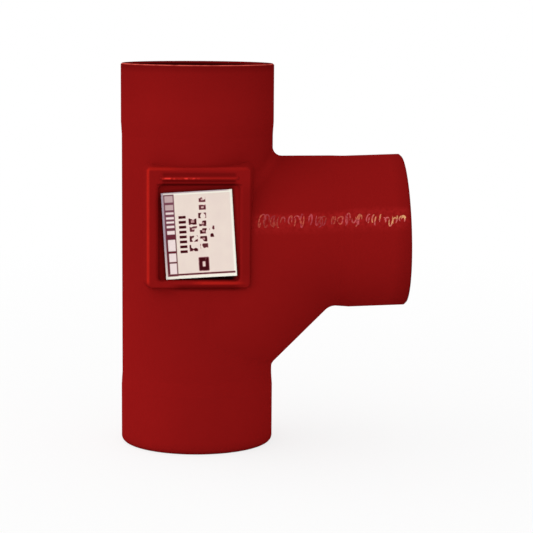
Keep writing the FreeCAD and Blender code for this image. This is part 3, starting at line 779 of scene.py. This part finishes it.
# %% The disc of the floor
def disc(name, radius, rings=6, around=96):
    """Rings of points: the distance from the middle grows with the fourth power of the ring's
    number."""
    out = radius * np.linspace(0, 1, rings + 1)[1:, None] ** 4
    turn = np.linspace(0, 2 * np.pi, around, endpoint=False)[None, :]
    level = np.zeros((rings, around))
    points = np.stack([out * np.cos(turn), out * np.sin(turn), level], -1).reshape(-1, 3)
    number = 1 + np.arange(rings * around).reshape(rings, around)
    after = np.roll(number, -1, axis=1)
    quads = np.stack([number[:-1], number[1:], after[1:], after[:-1]], -1).reshape(-1, 4)
    fan = np.stack([np.zeros(around, int), number[0], after[0]], -1)
    mesh = bpy.data.meshes.new(name)
    mesh.from_pydata(np.vstack([[0, 0, 0], points]), [], fan.tolist() + quads.tolist())
    return put(name, mesh)


floor = disc("floor", 80.0)
floor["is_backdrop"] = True
print("floor:", len(floor.data.polygons), "faces, up:", floor.data.polygons[0].normal[2] > 0)

# %% [markdown]
# What the eye sees of the floor and what the floor sends back as light can differ, because the
# Light Path node tells the two apart. To the eye it is almost white near the tee, where it still
# takes the shadow, and plain white further off, where it meets the sky. To the tee it is a soft
# grey, which keeps the underside of the branch from glowing.

# %% The finish of the floor
FLOOR_GREY, FLOOR_WHITE, WHITE = (0.72, 0.72, 0.72, 1), (0.98, 0.98, 0.98, 1), (1, 1, 1, 1)


def seen_by_the_eye(tree):
    """1 for what the camera sees, straight, in a gloss or through glass, and 0 for what gives
    light."""
    seen = Shade.node(tree, "LightPath", output="Is Camera Ray")
    seen = seen + Shade.node(tree, "LightPath", output="Is Glossy Ray")
    seen = seen + Shade.node(tree, "LightPath", output="Is Transmission Ray")
    return seen.math("MINIMUM", seen, 1.0)


pale_floor, tree, place = new_finish("pale_floor")
x, y, _ = apart(tree, place)
far = rising((x * x + y * y) ** 0.5, 420, 360)
grey = Shade.node(tree, "BsdfDiffuse", (), {"Color": FLOOR_GREY})
white = Shade.node(tree, "BsdfDiffuse", (), {"Color": FLOOR_WHITE})
glow = Shade.node(tree, "Emission", (), {"Color": WHITE, "Strength": 1.0})
shown = Shade.node(tree, "MixShader", (), {0: far * 0.22 + 0.78, 1: white, 2: glow})
both = Shade.node(tree, "MixShader", (), {0: seen_by_the_eye(tree), 1: grey, 2: shown})
Shade.node(tree, "OutputMaterial", (), {"Surface": both})
floor.data.materials.append(pale_floor)
print("floor finish:", len(tree.nodes), "nodes")

# %% [markdown]
# The light of the photograph is nearly even, so most of it comes from the sky. Its strength is a
# sum of the direction's own numbers: a little more from the left, and less from straight overhead
# or below. The eye sees it plain white.

# %% The sky
world = bpy.data.worlds.new("studio")
bpy.context.scene.world = world
world.use_nodes = True
tree = world.node_tree
tree.nodes.clear()
towards_x, _, towards_z = apart(tree, Shade.node(tree, "TexCoord", output="Generated"))
strength = 1.27 - 0.50 * towards_x - 0.48 * abs(towards_z)
lighting = Shade.node(tree, "Background", (), {"Color": WHITE, "Strength": strength})
shown = Shade.node(tree, "Background", (), {"Color": WHITE, "Strength": 1.0})
both = Shade.node(tree, "MixShader", (), {0: seen_by_the_eye(tree), 1: lighting, 2: shown})
Shade.node(tree, "OutputWorld", (), {"Surface": both})
print("sky:", len(tree.nodes), "nodes")

# %% [markdown]
# Two wide lamps stand in front, both weak. They lift the face of the tee a little and lay a soft
# shadow behind it on the floor.

# %% The lamps
def soft_lamp(name, place, aim, size, share):
    """A square lamp that adds that share of plain light where it meets a surface head on. The power
    is share times pi squared times the distance squared."""
    lamp = bpy.data.lights.new(name, "AREA")
    lamp.shape, lamp.size = "SQUARE", size
    place, aim = np.array(place), np.array(aim)
    lamp.energy = share * math.pi ** 2 * float(np.sum((place - aim) ** 2))
    away = (place - aim) / np.linalg.norm(place - aim)
    side = np.cross([0, 0, 1], away)
    side = side / np.linalg.norm(side)
    turned = Matrix(np.column_stack([side, np.cross(away, side), away]).tolist())
    put(name, lamp).matrix_world = Matrix.Translation(place) @ turned.to_4x4()
    print(name, "power", round(lamp.energy, 1), "W")


soft_lamp("left_lamp", (-0.55, -1.50, 0.42), (0.02, 0, 0.075), 1.3, 0.03)
soft_lamp("front_lamp", (0.20, -1.6, 0.16), (0.02, 0, 0.08), 1.3, 0.06)

# %% [markdown]
# The camera stands as far off and as high as the one that took the photograph: 0.73 m in front, 17
# cm up, looking down by 7.7 degrees. A long lens keeps the two pipes nearly square to each other.
# The place and the turn are written as numbers, and the three axes of the camera follow from them.

# %% The camera
FOCAL_PIXELS, PICTURE_PIXELS, SENSOR = 1908.911, 533, 36.0
eye = np.array([-0.016942, -0.725838, 0.165961])
yaw, pitch, roll = np.radians([3.437, 7.727, 0.395])
ahead = np.array([np.sin(yaw) * np.cos(pitch), np.cos(yaw) * np.cos(pitch), -np.sin(pitch)])
level = np.array([np.cos(yaw), -np.sin(yaw), 0.0])
above = np.cross(level, ahead)
side = np.cos(roll) * level + np.sin(roll) * above
top = np.cos(roll) * above - np.sin(roll) * level
turned = Matrix(np.column_stack([side, top, -ahead]).tolist())
lens = bpy.data.cameras.new("camera")
lens.sensor_width, lens.lens = SENSOR, FOCAL_PIXELS / PICTURE_PIXELS * SENSOR
camera = put("camera", lens)
camera.matrix_world = Matrix.Translation(eye) @ turned.to_4x4()
bpy.context.scene.camera = camera
bpy.context.scene.view_settings.view_transform = "Standard"
print("lens", round(lens.lens, 2), "mm")

# %% [markdown]
# Last, the box of the dressed tee is printed.

# %% Measure the dressed tee
low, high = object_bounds()
print("dressed box in mm:", [round(v / MM, 2) for v in (*low, *high)])
